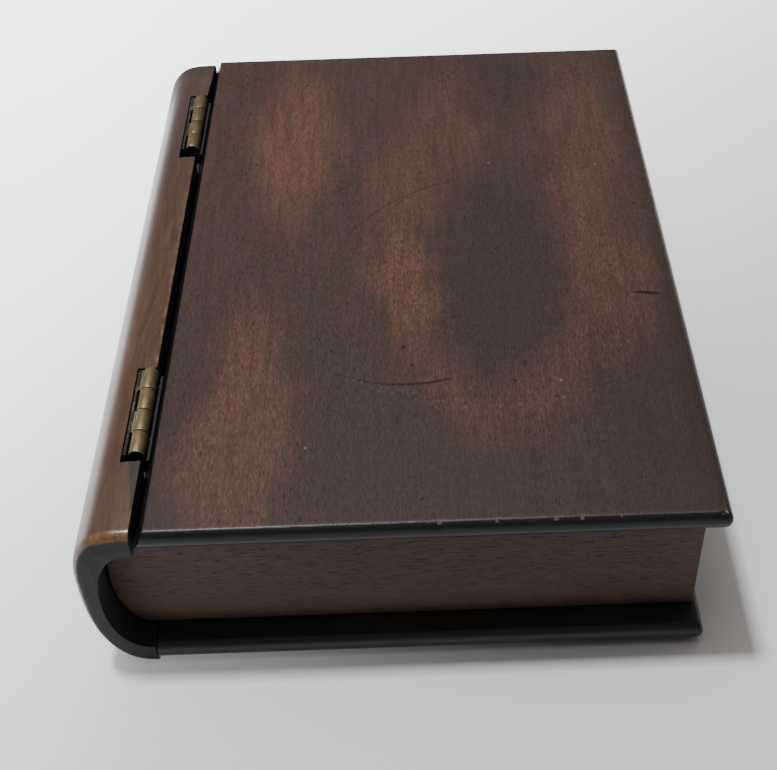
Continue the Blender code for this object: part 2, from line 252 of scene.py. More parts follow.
def cover_finish():
    """Mahogany stain under semi-gloss lacquer on the faces, black on the moulded edges."""
    finish = Finish("cover_wood", Coat_Roughness=0.2, Coat_IOR=1.45, Specular_IOR_Level=0.3)
    x, y, z = finish.axes((SEAM, TAIL, TOP))
    wander = finish.noise((0.03, 0.03, 0.03), (4, 4, 4), 2, 0.5)
    wander_y = finish.noise((0.03, 0.03, 0.03), (9, 2, 4), 2, 0.5)
    wx = x + (wander - 0.5) * 22
    wy = y + (wander_y - 0.5) * 30
    streak, fine, pore = stained_grain(finish, 1, 1, 1, 1)

    # Flame figure: red patches round a dark heart
    ring_x = (wx - 86) / 29
    ring_y = (wy - 112) / 74
    ring = (ring_x * ring_x + ring_y * ring_y) ** 0.5
    flame = finish.ease(abs(ring - 1.0), 0.34, 0.0)
    low_side = finish.ease(wy, 190, 130)
    flame = flame * low_side * 0.62
    flame = flame.most(finish.spot(wx, wy, (27, 156), (17, 62)) * 0.9)
    flame = flame.most(finish.spot(wx, wy, (20, 30), (18, 70)) * 1.02)
    flame = flame.most(finish.spot(wx, wy, (118, 80), (13, 48)) * 0.62)
    flame = flame.most(finish.spot(wx, wy, (60, 88), (14, 38)) * 0.85)
    flame = flame.most(finish.spot(wx, wy, (62, 130), (17, 46)) * 0.55)
    flame = flame.most(finish.spot(wx, wy, (74, 160), (23, 50), -18) * 0.45)
    flame = flame.most(finish.spot(wx, wy, (115, 142), (16, 80)) * 0.52)
    show_side = finish.ease(z, -4, -3)
    flame = flame ** 1.5 * (0.1 + 1.1 * streak + 0.35 * fine) * (0.15 + 0.85 * show_side)

    dark = finish.spot(wx, wy, (86, 100), (26, 66)) * 0.5
    dark = dark.most(finish.spot(wx, wy, (92, 190), (16, 30)) * 0.5)
    dark = dark.most(finish.spot(wx, wy, (124, 40), (22, 60)) * 0.4)

    color = finish.mix(streak, (0.046, 0.028, 0.0222), (0.072, 0.043, 0.034))
    hue = finish.noise((0.11, 0.06, 0.11), (13, 7, 2), 4, 0.65)
    color = finish.mix(finish.ease(hue, 0.53, 0.66) * 0.7, color, (0.067, 0.038, 0.038))
    color = finish.mix(finish.ease(hue, 0.47, 0.34) * 0.7, color, (0.052, 0.039, 0.022))
    color = finish.mix(flame, color, (0.135, 0.06, 0.04))
    color = finish.mix(dark, color, (0.031, 0.0205, 0.0185))
    # Painted sheen: bright orange streaks over the flame patches, stronger towards the tail end, stand in for the
    # figure's glint.
    sheen = finish.noise((2.4, 0.36, 2.4), (5, 5, 9), 5, 0.78, 0.7)
    painted_sheen = finish.ease(sheen, 0.5, 0.68) * flame * finish.ease(y, 150, 60, 0.35, 0.95)
    color = finish.mix(painted_sheen, color, (0.24, 0.12, 0.07))
    darker = finish.ease(fine, 0.4, 0.62) * finish.ease(y, 180, 60, 0.4, 0.62)
    color = finish.mix(darker, color, (0.018, 0.011, 0.0095))
    nearer = finish.ease(y, 130, -10) * 0.36
    color = finish.mix(nearer, color, (0.018, 0.012, 0.01))
    color = finish.mix(finish.ease(x, 126, 134) * 0.4, color, (0.016, 0.013, 0.009))
    patch = finish.noise((0.06, 0.03, 0.06), (11, 3, 5), 3, 0.6)
    pore_share = pore * finish.ease(patch, 0.35, 0.65, 0.25, 0.95)
    color = finish.mix(pore_share, color, (0.012, 0.008, 0.007))

    # Dents, scratches and a faint ring left by a cup
    def arc(centre, radius, start, end, width, share):
        """A scratch that follows part of a circle, from one angle to another."""
        dx, dy = x - centre[0], y - centre[1]
        reach = (dx * dx + dy * dy) ** 0.5
        line = finish.ease(abs(reach - radius), width, width * 0.35)
        turn = finish.add("ShaderNodeMath", {"operation": "ARCTAN2"}, {0: dy, 1: dx}) * (180 / math.pi)
        span = finish.ease(turn, start - 3, start) * finish.ease(turn, end + 3, end)
        return line * span * share

    rub = finish.noise((0.9, 0.9, 0.9), (2, 8, 1), 2, 0.6)
    scratch = arc((61, 83), 36, -119, -74, 0.6, 0.8) * finish.ease(x, 44, 62, 0.35, 1.0)
    scratch = scratch.most(arc((94, 81), 57, 111, 147, 0.5, 0.42) * finish.ease(rub, 0.3, 0.5))
    dash = finish.spot(x, y, (125.8, 79.6), (5.2, 0.9), -9)
    scratch = scratch.most(dash * 0.95)
    scratch = scratch.most(finish.spot(x, y, (42.5, 132.5), (5.5, 0.7), 38) * 0.5)
    for centre, size in [((60, 61), 0.9), ((62, 54), 0.6), ((71, 66), 0.5), ((88, 47), 0.7), ((98, 41), 0.6)]:
        scratch = scratch.most(finish.spot(x, y, centre, (size, size * 1.2)) * 0.8)
    scratch = scratch * show_side
    color = finish.mix(scratch, color, (0.008, 0.006, 0.006))

    pale = arc((85, 98), 60, -128, -62, 3.5, 0.35) * finish.ease(rub, 0.56, 0.7)
    for centre in [(86.7, 143.5), (118.5, 141), (99.4, 46.6), (36, 26)]:
        pale = pale.most(finish.spot(x, y, centre, (0.45, 0.55)))
    color = finish.mix(pale * show_side * 0.6, color, (0.22, 0.15, 0.12))

    # Black moulded edges, with a pale line along the near top arris that fades towards the fore-edge, and pale
    # chips
    drop = (TOP - base_high.z) / MM
    thick = (TOP - UNDERSIDE) / MM
    top_face = finish.ease(z, -0.26, -0.14)
    margin = finish.ease(y, 4, 5) * finish.ease(y, 206, 205) * finish.ease(x, 130, 129)
    under = finish.ease(z, 0.1 - thick, 0.02 - thick) * (z > -2 * thick)
    under = under.most(z < 0.08 - drop - thick) * margin
    indoors = finish.ease(y, 9, 10) * finish.ease(y, 201, 200) * finish.ease(x, 127, 126)
    indoors = indoors * (z < -2 * thick) * (z > -drop - 0.1)
    black = 1 - top_face.most(under).most(indoors)
    edge_line = finish.noise((0.35, 0.35, 0.35), (1, 2, 6), 4, 0.65)
    near_arris = ((y - 1.5) * (y - 1.5) + (z + 0.1) * (z + 0.1)) ** 0.5
    pale_arris = finish.ease(near_arris + (edge_line - 0.5) * 0.6, 0.34, 0.12)
    pale_arris = pale_arris * finish.ease(x, 90, 20, 0.25, 1.0) * finish.ease(edge_line, 0.42, 0.52)
    chip = finish.add("ShaderNodeAttribute", {"attribute_name": "chip"}, give="Fac")
    pale_arris_and_chips = pale_arris.most(finish.ease(chip + (edge_line - 0.5) * 0.8, 0.55, 0.85))
    # The base's black is lighter than the lid's: partly its olive tone, partly painted light lifting its shaded
    # ledge.
    edge_paint_and_painted_light = finish.mix(z < -2 * thick, (0.0105, 0.011, 0.011), (0.03, 0.03, 0.0265))
    color = finish.mix(black, color, edge_paint_and_painted_light)
    color = finish.mix(pale_arris_and_chips, color, (0.085, 0.08, 0.07))

    roughness = 0.38 + fine * 0.12 - black * 0.12 + pore * 0.1
    coat = 0.14 - black * 0.12 - pale_arris_and_chips * 0.1
    height = 0.35 * fine - pore_share * 0.8 - scratch * 0.5 + streak * 0.2
    height = height * (1 - black)
    return finish.done(height, 0.55, 0.12 * MM, Base_Color=color, Roughness=roughness, Coat_Weight=coat)


def spine_finish():
    finish = Finish("spine_wood", Coat_Roughness=0.18, Coat_IOR=1.5)
    x, y, z = finish.axes((SEAM - GROOVE, TAIL, TOP))
    streak, fine, pore = stained_grain(finish, 1, 1, 1, 21)
    cloud = finish.noise((0.05, 0.02, 0.05), (5, 1, 3), 3, 0.55)
    color = finish.mix(streak, (0.046, 0.023, 0.013), (0.095, 0.047, 0.025))
    color = finish.mix(finish.ease(cloud, 0.4, 0.7) * 0.5, color, (0.05, 0.034, 0.026))
    color = finish.mix(pore * 0.5, color, (0.015, 0.01, 0.008))
    color = finish.mix(finish.ease(y, 90, 190) * 0.6, color, (0.047, 0.035, 0.031))
    # Painted shade: the spine darkens over its last 8 mm at the head end.
    color = finish.mix(finish.ease(y, 198, 206) * 0.7, color, (0.02, 0.02, 0.017))
    low = finish.ease(z, -4, -16)
    color = finish.mix(low * 0.6, color, (0.028, 0.022, 0.018))
    # Near black in the mortises, on the groove's side and in the hollow: partly black paint, partly painted shade.
    inside_paint_and_shade = finish.ease(x, -5.1, -4.9) * finish.ease(z, -0.5, -0.75) * finish.ease(y, 2.0, 3.0)
    inside_paint_and_shade = inside_paint_and_shade.most(finish.ease(x, -0.2, -0.05) * finish.ease(z, -0.35, -0.6) * finish.ease(y, 192, 189))
    inside_paint_and_shade = inside_paint_and_shade * finish.ease(z, -9, -8)
    hollow = finish.add("ShaderNodeAttribute", {"attribute_name": "hollow"}, give="Fac")
    inside_paint_and_shade = inside_paint_and_shade.most(finish.ease(hollow, 0.7, 0.95) * finish.ease(y, 0.25, 0.5) * (z < -6.5))
    smear = finish.ease(x + (y - 8) * 0.16, -0.6, 0.0) * finish.ease(y, 6, 10) * finish.ease(y, 23.6, 23.2)
    smear = smear * finish.ease(z, -3, -2)
    color = finish.mix(inside_paint_and_shade, color, (0.02, 0.02, 0.02))
    wear = finish.noise((0.35, 0.18, 0.35), (3, 3, 3), 4, 0.65)
    along_groove = finish.ease(abs(x + 0.35), 0.75, 0.2) * finish.ease(z, -0.9, -0.4)
    at_end = finish.ease(y, 2.6, 1.6) * finish.ease(y, -0.1, 0.25) * finish.ease(z, -3.6, -1.6)
    along_groove = along_groove * finish.ease(y, 185, 60, 0.1, 0.8)
    worn = (along_groove * finish.ease(wear, 0.42, 0.6)).most(at_end * finish.ease(wear, 0.25, 0.5))
    worn = worn * (1 - inside_paint_and_shade)
    color = finish.mix(worn * 0.75, color, (0.2, 0.105, 0.045))
    color = finish.mix(smear * 0.85, color, (0.022, 0.021, 0.02))
    end_face = finish.ease(y, 0.5, 0.2).most(finish.ease(y, 207.9, 208.2))
    color = finish.mix(end_face * (1 - worn), color, (0.0095, 0.0095, 0.0075))
    roughness = 0.32 + streak * 0.15 + inside_paint_and_shade * 0.4 - at_end * 0.12 + finish.ease(y, 180, 205) * 0.25
    roughness = roughness + finish.ease(y, 0.5, 0.2) * 0.3
    coat = 0.2 * (1 - inside_paint_and_shade.most(end_face)) * finish.ease(y, 204, 180)
    height = 0.3 * fine - pore * 0.5 + streak * 0.2
    return finish.done(height, 0.45, 0.1 * MM, Base_Color=color, Roughness=roughness, Coat_Weight=coat)


def page_finish():
    """Stained walls with the grain lying along them, and painted light towards their foot."""
    finish = Finish("page_wood", Specular_IOR_Level=0.3)
    x, y, z = finish.axes((SEAM, TAIL, TOP))
    normal = finish.add("ShaderNodeNewGeometry", give="Normal")
    on_end = abs(finish.add("ShaderNodeSeparateXYZ", {}, {0: normal}, 1))
    on_end = finish.ease(on_end, 0.4, 0.6)
    along = finish.mix(on_end, finish.point(y, x, z), finish.point(x, y, z))
    finish.local = along
    streak = finish.ease(finish.noise((0.07, 0.8, 0.6), (3, 2, 1), 5, 0.65, 0.6), 0.32, 0.68)
    fine = finish.noise((0.3, 2, 2.2), (1, 5, 1), 3, 0.6)
    pore = finish.ease(finish.noise((0.26, 1.6, 1.5), (8, 5, 4), 3, 0.55), 0.56, 0.7)
    cloud = finish.noise((0.14, 0.3, 0.3), (2, 2, 7), 4, 0.7, 0.5)
    mottle = finish.noise((0.45, 0.6, 0.6), (4, 9, 2), 4, 0.7, 0.6)
    color = finish.mix(streak, (0.06, 0.042, 0.029), (0.098, 0.066, 0.046))
    color = finish.mix(finish.ease(mottle, 0.52, 0.66) * 0.6, color, (0.125, 0.068, 0.04))
    color = finish.mix(finish.ease(mottle, 0.46, 0.32) * 0.5, color, (0.042, 0.033, 0.022))
    color = finish.mix(finish.ease(cloud, 0.5, 0.66) * 0.8, color, (0.105, 0.054, 0.034))
    color = finish.mix(finish.ease(cloud, 0.46, 0.34) * 0.6, color, (0.06, 0.052, 0.034))
    color = finish.mix(finish.ease(fine, 0.45, 0.7) * 0.45, color, (0.03, 0.022, 0.016))
    color = finish.mix(pore * 0.45, color, (0.014, 0.011, 0.009))
    # Painted light: the walls grow lighter towards their foot, more so towards the spine side, where the overhang
    # keeps the lamps off.
    foot = finish.ease(z, -22, -44) * finish.ease(x, 150, 70, 0.05, 0.55)
    color = finish.mix(foot, color, (0.16, 0.115, 0.08))
    roughness = 0.5 + streak * 0.15
    height = 0.5 * fine - pore * 0.8 + streak * 0.4 + cloud * 0.3
    return finish.done(height, 0.8, 0.18 * MM, Base_Color=color, Roughness=roughness)


def brass_finish():
    finish = Finish("brass")
    x, y, z = finish.axes(tuple(AXIS))
    tarnish = finish.noise((0.5, 0.35, 0.5), (6, 1, 2), 4, 0.65)
    speck = finish.noise((2.6, 1.4, 2.6), (1, 1, 8), 3, 0.6)
    color = finish.mix(finish.ease(tarnish, 0.35, 0.7), (0.42, 0.33, 0.17), (0.24, 0.19, 0.1))
    color = finish.mix(finish.ease(speck, 0.6, 0.75) * 0.6, color, (0.09, 0.07, 0.04))
    normal = finish.add("ShaderNodeNewGeometry", give="Normal")
    knuckle_end = abs(finish.add("ShaderNodeSeparateXYZ", {}, {0: normal}, 1))
    # Brass below the axis, on the sunk plates and on the knuckle ends is near black: partly black paint, partly
    # painted shade of the mortises and groove.
    sunk_paint_and_shade = finish.ease(z, 0.2, -1.0).most(finish.ease(x, 2.0, 2.06))
    sunk_paint_and_shade = sunk_paint_and_shade.most(finish.ease(x, -2.0, -2.06) * finish.ease(tarnish, 0.38, 0.5, 0.85, 1.0))
    sunk_paint_and_shade = sunk_paint_and_shade.most(finish.ease(knuckle_end, 0.6, 0.9))
    color = finish.mix(sunk_paint_and_shade, color, (0.013, 0.013, 0.011))
    roughness = 0.34 + tarnish * 0.22 + sunk_paint_and_shade * 0.36
    height = speck * 0.5 + tarnish * 0.5
    metallic = 0.95 - sunk_paint_and_shade * 0.9
    return finish.done(height, 0.3, 0.05 * MM, Base_Color=color, Roughness=roughness, Metallic=metallic)


def screw_finish():
    finish = Finish("screw_steel")
    finish.axes(tuple(AXIS))
    tarnish = finish.noise((1.2, 1.2, 1.2), (2, 1, 2), 4, 0.65)
    color = finish.mix(tarnish, (0.3, 0.25, 0.15), (0.13, 0.11, 0.07))
    roughness = 0.32 + tarnish * 0.25
    metallic = 0.9 + tarnish * 0.05
    return finish.done(tarnish, 0.3, 0.05 * MM, Base_Color=color, Roughness=roughness, Metallic=metallic)


cover_wood = cover_finish()
spine_wood = spine_finish()
page_wood = page_finish()
brass = brass_finish()
screw_steel = screw_finish()


# Shaping with geometry nodes

SOCKETS = {
    "Geometry": "NodeSocketGeometry",
    "Material": "NodeSocketMaterial",
    "float": "NodeSocketFloat",
    "int": "NodeSocketInt",
    "Vector": "NodeSocketVector",
}


class Shape(Bench):
    """A geometry tree with named inputs for its sizes."""

    def __init__(self, name, **sizes):
        super().__init__(bpy.data.node_groups.new(name, "GeometryNodeTree"))
        self.sizes = sizes
        face = self.tree.interface
        face.new_socket("Geometry", in_out="INPUT", socket_type=SOCKETS["Geometry"])
        face.new_socket("Geometry", in_out="OUTPUT", socket_type=SOCKETS["Geometry"])
        for size, value in sizes.items():
            kind = "Material" if isinstance(value, bpy.types.Material) else type(value).__name__
            face.new_socket(size, in_out="INPUT", socket_type=SOCKETS[kind])
        self.given = self.tree.nodes.new("NodeGroupInput")
        self.end = self.tree.nodes.new("NodeGroupOutput")

    def size(self, name):
        return Term(self, self.given.outputs[name])

    def point(self, x=0.0, y=0.0, z=0.0):
        return self.add("ShaderNodeCombineXYZ", {}, {0: x, 1: y, 2: z})

    def bar(self, start, end, width, height, fillet):
        """A straight bar of rounded section between two points."""
        section = self.add("GeometryNodeCurvePrimitiveQuadrilateral", {}, {"Width": width, "Height": height})
        section = self.add(
            "GeometryNodeFilletCurve",
            {"mode": "POLY"},
            {"Curve": section, "Count": 3, "Radius": fillet, "Limit Radius": True},
        )
        line = self.add("GeometryNodeCurvePrimitiveLine", {}, {"Start": start, "End": end})
        return self.add(
            "GeometryNodeCurveToMesh", {}, {"Curve": line, "Profile Curve": section, "Fill Caps": True}
        )

    def noted(self, geometry, kind, name, value):
        """Keeps a value on the geometry's points under a name."""
        settings = {"data_type": kind, "domain": "POINT"}
        return self.add(
            "GeometryNodeStoreNamedAttribute", settings, {"Geometry": geometry, "Name": name, "Value": value}
        )

    def join(self, *parts):
        return self.add("GeometryNodeJoinGeometry", {}, {0: list(reversed(parts))})

    def finished(self, geometry, material):
        """Ends the tree."""
        real = self.add("GeometryNodeRealizeInstances", {}, {0: geometry})
        real = self.add("GeometryNodeSetMaterial", {}, {0: real, "Material": material})
        self.tree.links.new(real.socket, self.end.inputs[0])

    def built(self, name, mesh=None):
        """A plain mesh object made by this tree at its sizes."""
        obj = bpy.data.objects.new(name, mesh or bpy.data.meshes.new(name))
        bpy.context.scene.collection.objects.link(obj)
        maker = obj.modifiers.new("shape", "NODES")
        maker.node_group = self.tree
        for item in self.tree.interface.items_tree:
            if item.in_out == "INPUT" and item.name in self.sizes:
                maker[item.identifier] = self.sizes[item.name]
        return plain(obj)


def plain(obj):
    """Turns an object with modifiers into its plain result."""
    bpy.context.view_layer.update()
    graph = bpy.context.evaluated_depsgraph_get()
    mesh = bpy.data.meshes.new_from_object(obj.evaluated_get(graph))
    obj.modifiers.clear()
    obj.data = mesh
    mesh.name = obj.name
    return obj


def spine_shape():
    """The rounded back: its section swept from tail to head, drawn in at both ends."""
    steps = 28
    turns = 8
    rings = 41
    shape = Shape(
        "spine_sweep",
        Back=spine_low.x,
        Top=TOP,
        Board=base_high.z,
        Underside=UNDERSIDE,
        Belly=SPINE_BELLY,
        Wall=SPINE_WALL,
        Centre=ARC_CENTRE,
        Arm=SPINE_ARM,
        Tail=spine_low.y,
        Head=spine_high.y,
        Round=SPINE_ROUND,
        Spread=SPINE_SPREAD,
        Material=spine_wood,
    )
    size = shape.size
    index = shape.add("GeometryNodeInputIndex")
    per_side = steps + 3
    inner = index > per_side - 0.5
    place = index + inner * ((2 * per_side - 1) - 2 * index)
    turn = ((place - 1) / steps).most(0.0).least(1.0) * 2 - 1
    upper = turn < 0.0
    angle = abs(turn) * (math.pi / 2)
    cosine = angle.maths("COSINE", angle).most(0.0)
    sine = angle.maths("SINE", angle)
    power = 2.3 + upper * 0.5
    power = power + inner * (2.2 - power)
    middle = size("Belly") + inner * (size("Top") / 2 - size("Belly"))
    crown = size("Top") + inner * (size("Underside") - size("Top"))
    foot = inner * size("Board")
    reach = foot - middle + upper * (crown - foot)
    depth = size("Centre") - size("Back") - inner * size("Wall")
    x = size("Arm") * (place < 0.5) + 0.3 * MM * (place > per_side - 1.5) - depth * cosine ** (2 / power)
    z = middle + reach * sine ** (2 / power) - size("Top") / 2
    away = shape.add(
        "ShaderNodeVectorMath",
        {"operation": "NORMALIZE"},
        {0: shape.point(x.least(0.0), 0.0, z + size("Top") / 2 - size("Belly"))},
    )
    away = shape.add("ShaderNodeVectorMath", {"operation": "SCALE"}, {0: away, "Scale": inner - 1})
    loop = shape.add("GeometryNodeCurvePrimitiveCircle", {}, {"Resolution": 2 * per_side})
    loop = shape.add("GeometryNodeSetPosition", {}, {0: loop, "Position": shape.point(x, -z, 0.0)})
    loop = shape.noted(loop, "FLOAT_VECTOR", "inwards", away)
    loop = shape.noted(loop, "FLOAT", "hollow", inner * 1.0)
    loop = shape.noted(loop, "FLOAT", "tip", (place < 0.5) * 1.0)

    half = (size("Head") - size("Tail")) / 2
    nearest = (rings - 1) / 2 - abs(index - (rings - 1) / 2)
    swing = (nearest / turns).least(1.0) * (math.pi / 2)
    inset = size("Round") * (1 - swing.maths("SINE", swing))
    pitch = (half - size("Round")) / ((rings - 1) / 2 - turns)
    reach = half - size("Round") * (1 - swing.maths("COSINE", swing)) - (nearest - turns).most(0.0) * pitch
    side = (index > (rings - 1) / 2) * 2 - 1
    y = (size("Head") + size("Tail")) / 2 + side * reach
    path = shape.add(
        "GeometryNodeCurvePrimitiveLine",
        {},
        {"Start": shape.point(0.0, size("Tail")), "End": shape.point(0.0, size("Head"))},
    )
    path = shape.add("GeometryNodeResampleCurve", {"mode": "COUNT"}, {"Curve": path, "Count": rings})
    path = shape.add(
        "GeometryNodeSetPosition", {}, {0: path, "Position": shape.point(size("Centre"), y, size("Top") / 2)}
    )
    path = shape.noted(path, "FLOAT", "inset", inset)
    late = ((y - size("Head") + 45 * MM) / (38 * MM)).most(0.0).least(1.0)
    path = shape.noted(path, "FLOAT", "spread", late * late * size("Spread"))
    body = shape.add(
        "GeometryNodeCurveToMesh", {}, {"Curve": path, "Profile Curve": loop, "Fill Caps": True}
    )
    inwards = shape.add("GeometryNodeInputNamedAttribute", {"data_type": "FLOAT_VECTOR"}, {0: "inwards"})
    inset = shape.add("GeometryNodeInputNamedAttribute", {"data_type": "FLOAT"}, {0: "inset"})
    tip = shape.add("GeometryNodeInputNamedAttribute", {"data_type": "FLOAT"}, {0: "tip"})
    spread = shape.add("GeometryNodeInputNamedAttribute", {"data_type": "FLOAT"}, {0: "spread"})
    moved = shape.add("ShaderNodeVectorMath", {"operation": "SCALE"}, {0: inwards, "Scale": inset})
    moved = shape.add("ShaderNodeVectorMath", {"operation": "ADD"}, {0: moved, 1: shape.point(tip * spread)})
    body = shape.add("GeometryNodeSetPosition", {}, {0: body, "Offset": moved})
    shape.finished(body, size("Material"))
    return shape.built("book_spine")


def eased(obj, width, segments=2, sharper_than=50, only=None):
    """Breaks the sharp arrises of a plain mesh and shades it smooth."""
    work = bmesh.new()
    work.from_mesh(obj.data)
    bmesh.ops.remove_doubles(work, verts=work.verts, dist=0.001 * MM)
    bmesh.ops.recalc_face_normals(work, faces=work.faces)
    limit = math.radians(sharper_than)
    edges = [
        e
        for e in work.edges
        if len(e.link_faces) == 2 and e.calc_face_angle(0) > limit and (only is None or only(e))
    ]
    if width:
        bmesh.ops.bevel(
            work, geom=edges, offset=width, segments=segments, affect="EDGES", profile=0.5, clamp_overlap=True
        )
    work.to_mesh(obj.data)
    work.free()
    shade(obj)
    return obj


def shade(obj, angle=35):
    obj.data.shade_smooth()
    obj.data.set_sharp_from_angle(angle=math.radians(angle))


def cut(obj, *boxes):
    """Cuts rectangular mortises, each given by its low and high corners."""
    cutters = []
    for number, (low, high) in enumerate(boxes):
        work = bmesh.new()
        bmesh.ops.create_cube(work, size=1)
        for vertex in work.verts:
            for axis in range(3):
                vertex.co[axis] = (low[axis] + high[axis]) / 2 + vertex.co[axis] * (high[axis] - low[axis])
        mesh = bpy.data.meshes.new("mortise")
        work.to_mesh(mesh)
        work.free()
        cutter = bpy.data.objects.new("mortise", mesh)
        bpy.context.scene.collection.objects.link(cutter)
        modifier = obj.modifiers.new("mortise", "BOOLEAN")
        modifier.object = cutter
        modifier.solver = "EXACT"
        cutters.append(cutter)
    plain(obj)
    for cutter in cutters:
        bpy.data.objects.remove(cutter)
    return obj


def mortises(side):
    """The hinge mortises in the spine or in the lid."""
    boxes = []
    for hinge, room in (("tail_hinge", TAIL_MORTISE_ROOM), ("head_hinge", HEAD_MORTISE_ROOM)):
        case_low, case_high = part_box(hinge + "_case_leaf")
        leaf_low, leaf_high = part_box(hinge + "_lid_leaf")
        if side == "spine":
            low = (case_low.x - FIT_GAP, case_low.y - room, case_low.z - FIT_GAP)
            high = (SEAM, case_high.y + MORTISE_END_ROOM, TOP + CUTTER_RISE)
        else:
            low = (ARC_CENTRE - 6 * MM, leaf_low.y - MORTISE_END_ROOM, 0)
            high = (leaf_high.x + FIT_GAP, leaf_high.y + MORTISE_END_ROOM, TOP + CUTTER_RISE)
        boxes.append((low, high))
    return boxes


# Covers


def nose_levels(board):
    """(drop, inset) down the moulded edge, from the flat of the face to the underside."""
    first = math.acos((NOSE_RADIUS - NOSE_INSET) / NOSE_RADIUS)
    rise = NOSE_RADIUS * math.sin(first)
    levels = [(0, NOSE_INSET + 3 * MM), (0, NOSE_INSET + 1.2 * MM), (0, NOSE_INSET + ARRIS * 1.3)]
    levels += [(0.04 * MM, NOSE_INSET + ARRIS * 0.62), (0.13 * MM, NOSE_INSET + ARRIS * 0.15)]
    for step in range(1, 15):
        turn = first * (1 - step / 14 * (1 + math.pi / 2 / first))
        levels.append((rise - NOSE_RADIUS * math.sin(turn), NOSE_RADIUS * (1 - math.cos(turn))))
    levels += [(board - 0.12 * MM, NOSE_RADIUS), (board - 0.02 * MM, NOSE_RADIUS + 0.1 * MM)]
    levels += [(board, NOSE_RADIUS + 0.25 * MM), (board, NOSE_RADIUS + 3 * MM)]
    return levels


def outline(west, east, south, north, corner):
    """A cover seen from above, as (x, y, west side or not).

    It runs anticlockwise from the tail end of its spine side.
    """
    points = []
    for step in range(151):
        points.append((west + (east - corner - west) * step / 150, south, False))
    for step in range(1, 6):
        turn = -math.pi / 2 + math.pi / 2 * step / 6
        points.append((east - corner + corner * math.cos(turn), south + corner + corner * math.sin(turn), False))
    for step in range(201):
        points.append((east, south + corner + (north - south - 2 * corner) * step / 200, False))
    for step in range(1, 6):
        turn = math.pi / 2 * step / 6
        points.append((east - corner + corner * math.cos(turn), north - corner + corner * math.sin(turn), False))
    for step in range(151):
        points.append((east - corner + (west - east + corner) * step / 150, north, False))
    for step in range(1, 200):
        points.append((west, north + (south - north) * step / 200, True))
    return points


def cover(name, low, high, side_of, chips=()):
    """A cover board. side_of gives its spine side at a drop below the face."""
    board = high.z - low.z
    work = bmesh.new()
    chip_layer = work.verts.layers.float.new("chip")
    rings = []
    levels = nose_levels(board)
    for level, (drop, inset) in enumerate(levels):
        west = side_of(drop)
        if level < 3 or level > len(levels) - 3:
            west += (inset - NOSE_INSET if level < 3 else inset - NOSE_RADIUS)
        elif level == 3:
            west += ARRIS * 0.5
        corner = max(CORNER - inset * 0.5, 0.4 * MM)
        ring = []
        for x, y, spine_side in outline(west, high.x - inset, low.y + inset, high.y - inset, corner):
            vertex = work.verts.new((x, y, high.z - drop))
            for place, half, depth in chips:
                along = (x - SEAM) / MM - place
                if y < low.y + 5 * MM and abs(along) < half and 1 < level < 8:
                    fade = math.cos(along / half * math.pi / 2) ** 0.6
                    bite = depth * MM * fade * (1 - abs(level - 4) / 4)
                    vertex.co.y += bite * 0.7
                    vertex.co.z -= bite * 0.6
                    vertex[chip_layer] = fade if 2 < level < 6 else 0
            ring.append(vertex)
        rings.append(ring)
    count = len(rings[0])
    for above, below in zip(rings, rings[1:]):
        for i in range(count):
            j = (i + 1) % count
            work.faces.new((above[i], below[i], below[j], above[j]))
    work.faces.new(rings[0])
    work.faces.new(rings[-1][::-1])
    bmesh.ops.recalc_face_normals(work, faces=work.faces)
    mesh = bpy.data.meshes.new(name)
    work.to_mesh(mesh)
    work.free()
    obj = bpy.data.objects.new(name, mesh)
    bpy.context.scene.collection.objects.link(obj)
    mesh.materials.append(cover_wood)
    return obj


def lid_side(drop):
    """The lid slopes out under the groove, then drops straight."""
    slope = (TOP - UNDERSIDE - GROOVE_LIP)
    return SEAM - (GROOVE - FIT_GAP) * min(drop / slope, 1)


# Where each chip is along the near arris, its half width and its depth, in millimetres
CHIPS = [
    (67.5, 0.9, 0.16),
    (80.2, 0.6, 0.14),
    (94, 1.1, 0.16),
    (100, 1.0, 0.18),
    (108.6, 0.6, 0.14),
    (132.4, 0.7, 0.45),
]
lid = cover("lid_cover", lid_low, lid_high, lid_side, CHIPS)
cut(lid, *mortises("lid"))
shade(lid)
base = cover("base_cover", base_low, base_high, lambda drop: base_low.x)
shade(base)
spine = spine_shape()
eased(spine, SPINE_ARRIS, 3)
cut(spine, *mortises("spine"))
shade(spine)


def eased_copy(name, node, width):
    """A wall of the same shape as its solid, with its arrises eased."""
    obj = bpy.data.objects.new(name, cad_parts[node].data.copy())
    bpy.context.scene.collection.objects.link(obj)
    obj.data.materials.clear()
    obj.data.materials.append(page_wood)
    work = bmesh.new()
    work.from_mesh(obj.data)
    bmesh.ops.remove_doubles(work, verts=work.verts, dist=0.001 * MM)
    bmesh.ops.dissolve_limit(work, angle_limit=0.01, verts=work.verts, edges=work.edges)
    work.to_mesh(obj.data)
    work.free()
    return eased(obj, width)


walls = {
    node: eased_copy(node.replace("_wall", "_pages"), node, WALL_ARRIS)
    for node in ("tail_end_wall", "head_end_wall", "fore_edge_wall", "spine_side_wall")
}


# Hinges


